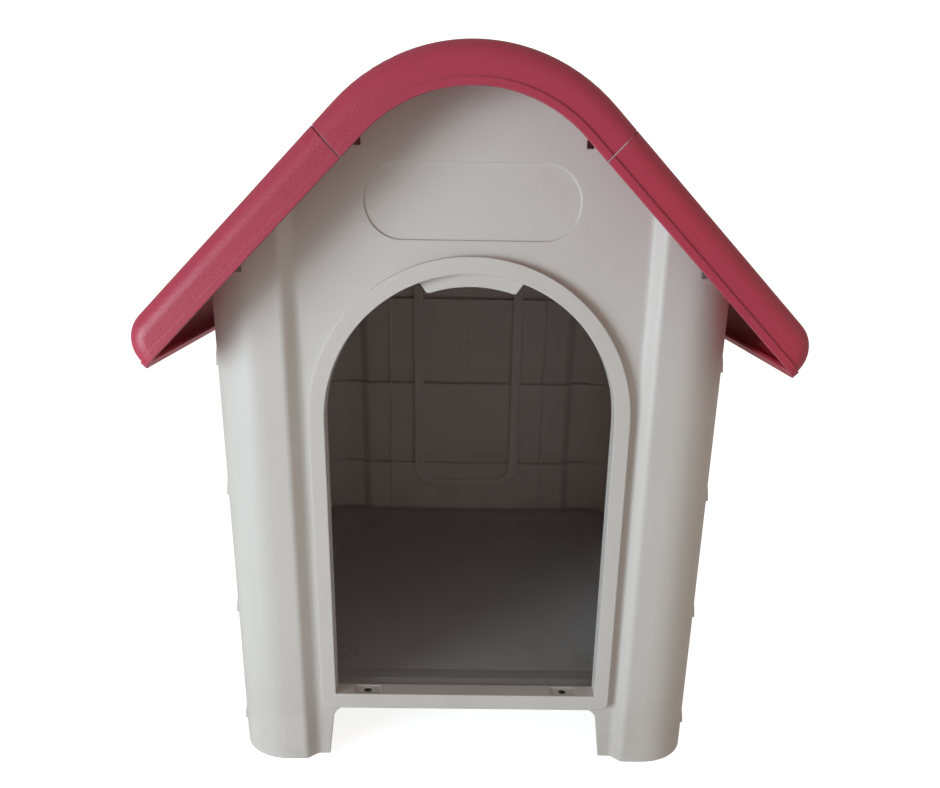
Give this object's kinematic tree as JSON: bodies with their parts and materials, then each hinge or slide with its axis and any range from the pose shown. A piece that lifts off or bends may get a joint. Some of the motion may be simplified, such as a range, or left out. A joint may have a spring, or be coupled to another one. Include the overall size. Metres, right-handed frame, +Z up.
{
  "type": "plastic animal kennel",
  "caption": "Moulded plastic animal kennel with an arched doorway, corner-column walls, a raised floor tray and a lift-off arched roof in sections.",
  "frame": {"origin": "on the ground at the middle of the plan", "axes": "+Z up, -Y towards the doorway, X across the doorway"},
  "size_m": [0.5668, 0.677, 0.6655],
  "materials": {
    "wall_plastic": "fine moulded grain, light warm grey",
    "roof_plastic": "fine moulded grain, crimson",
    "tray_plastic": "fine moulded grain, dark grey",
    "screw_steel": "zinc plated"
  },
  "bodies": {
    "house": {"front_wall": "wall_plastic", "rear_wall": "wall_plastic", "side_wall_left": "wall_plastic", "side_wall_right": "wall_plastic", "floor_tray": "tray_plastic", "sill_screws": "screw_steel", "rear_floor_screws": "screw_steel", "corner_screws_front_left": "screw_steel", "corner_screws_front_right": "screw_steel", "corner_screws_rear_left": "screw_steel", "corner_screws_rear_right": "screw_steel"},
    "roof": {"roof_ridge_cap": "roof_plastic", "roof_slope_left": "roof_plastic", "roof_slope_right": "roof_plastic", "roof_joint_screws_left": "screw_steel", "roof_joint_screws_right": "screw_steel"}
  },
  "joints": [
    {"name": "roof_lift", "type": "slide", "parent": "house", "child": "roof", "axis": [0, 0, 1], "range_m": [0, 0.34]}
  ]
}
